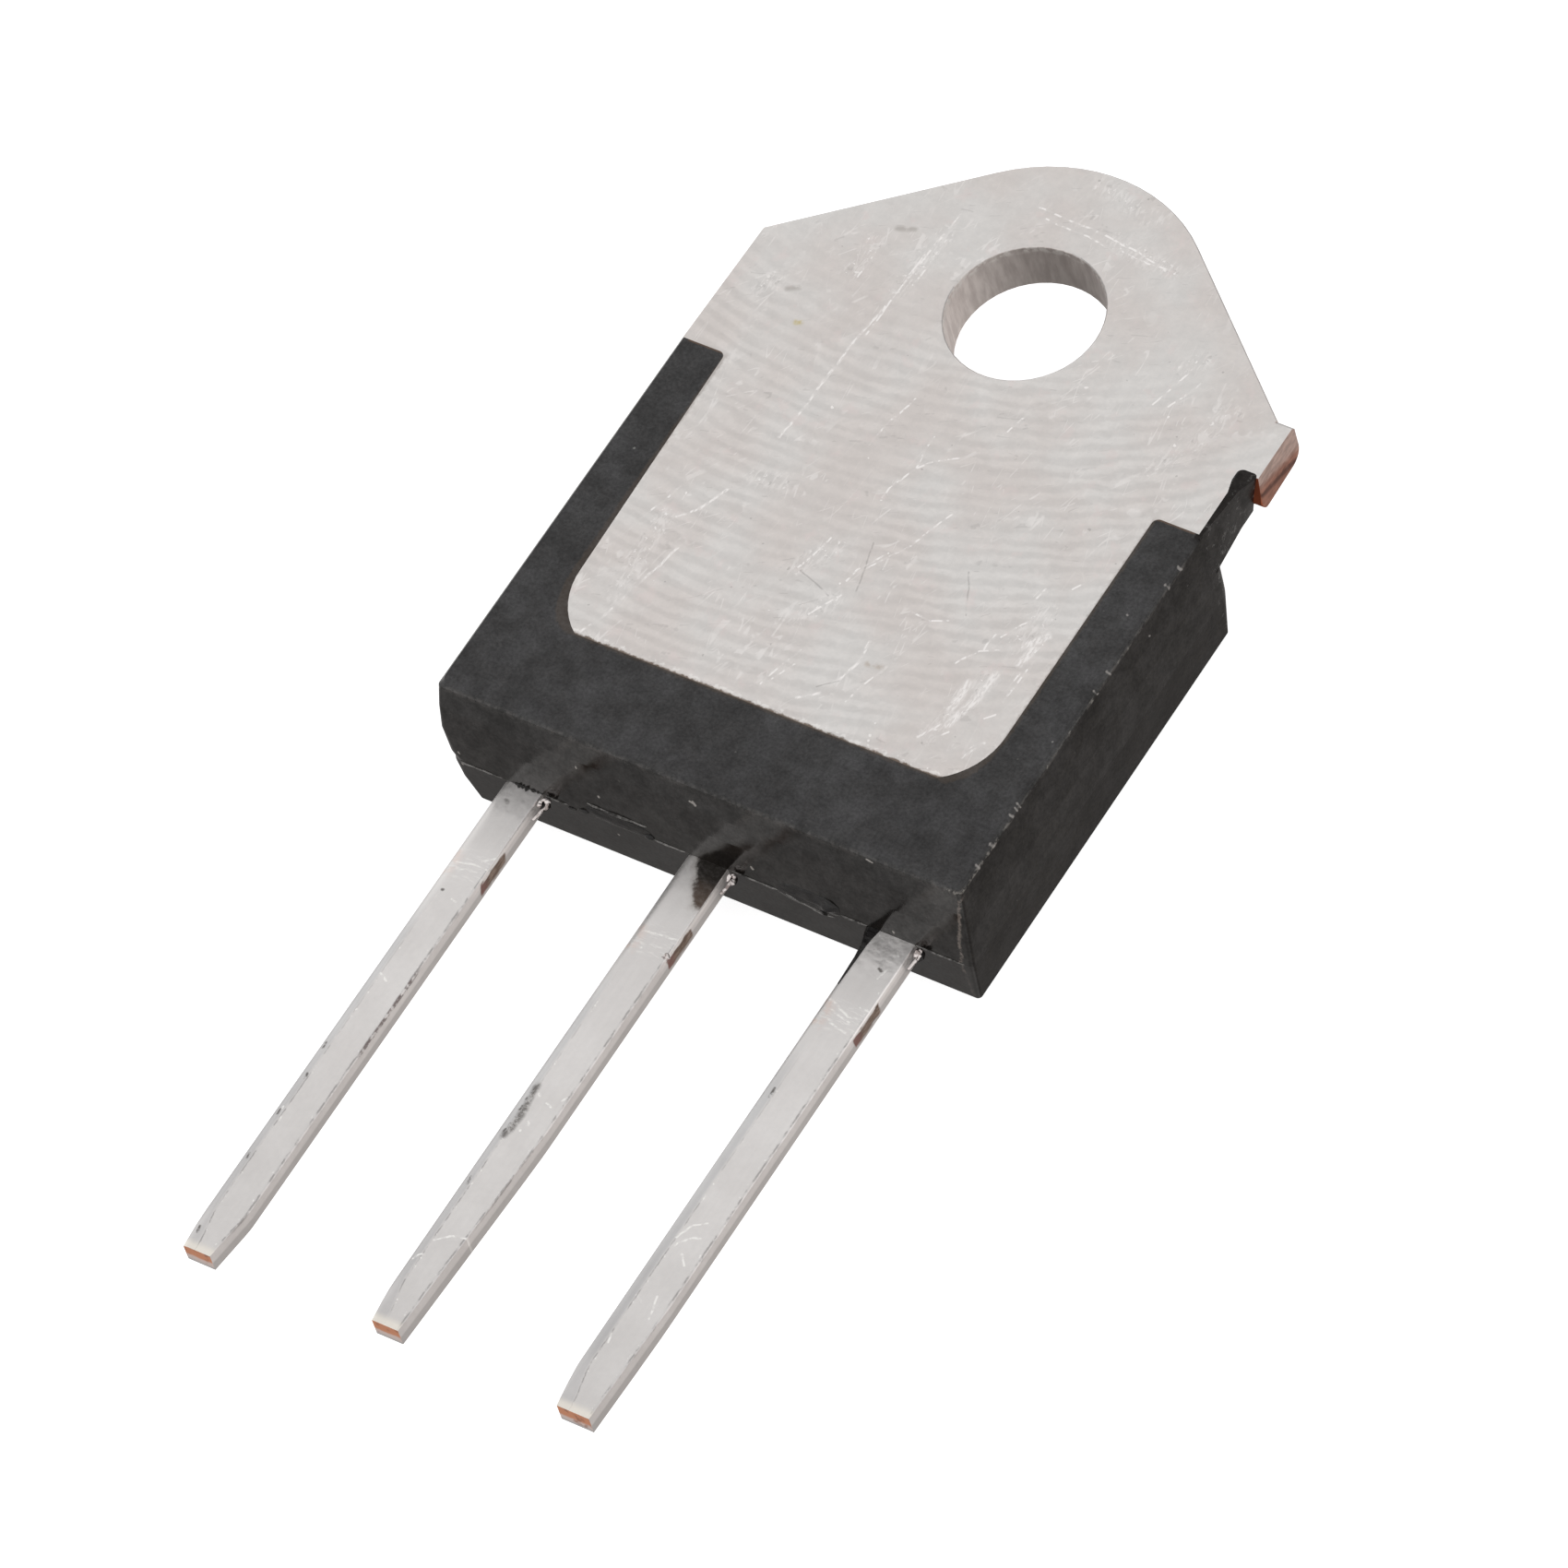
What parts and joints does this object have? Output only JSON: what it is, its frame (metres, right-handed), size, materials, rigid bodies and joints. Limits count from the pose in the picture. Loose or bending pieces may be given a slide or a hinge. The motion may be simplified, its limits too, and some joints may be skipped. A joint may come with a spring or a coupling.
{
  "type": "triac",
  "caption": "Insulated three-lead power triac: moulded body around a plated metal plate with a mounting hole, seen metal side up.",
  "frame": {"origin": "centre of the mounting hole on the metal mounting face", "axes": "+X across the three leads, from gate to A1; +Y from the leads towards the rounded end of the plate; +Z out of the metal face, up as the part lies on its plastic front"},
  "size_m": [0.0158, 0.0357, 0.0045],
  "materials": {
    "plated_plate": "satin nickel plating over copper, finely rippled and scratched, bare copper on the sheared lugs",
    "plated_leads": "satin tin plating over copper, bare copper at the trimmed tips and cut tie-bar stubs",
    "moulding": "matt black-grey epoxy moulding compound with fine pale specks",
    "inner_copper": "bare copper",
    "solder": "dull solder",
    "alumina": "white fired alumina",
    "silicon": "dark polished silicon",
    "bond_wire": "drawn aluminium"
  },
  "bodies": {
    "root": {"heat_tab": "plated_plate", "tab_solder": "solder", "insulator_lower_metal": "inner_copper", "ceramic_insulator": "alumina", "insulator_upper_metal": "inner_copper", "pad_solder": "solder", "lead_a2": "plated_leads", "die_solder": "solder", "triac_die": "silicon", "a1_die_solder": "solder", "a1_clip": "inner_copper", "a1_lead_solder": "solder", "lead_a1": "plated_leads", "gate_wire": "bond_wire", "lead_gate": "plated_leads", "moulded_body": "moulding"}
  },
  "joints": []
}
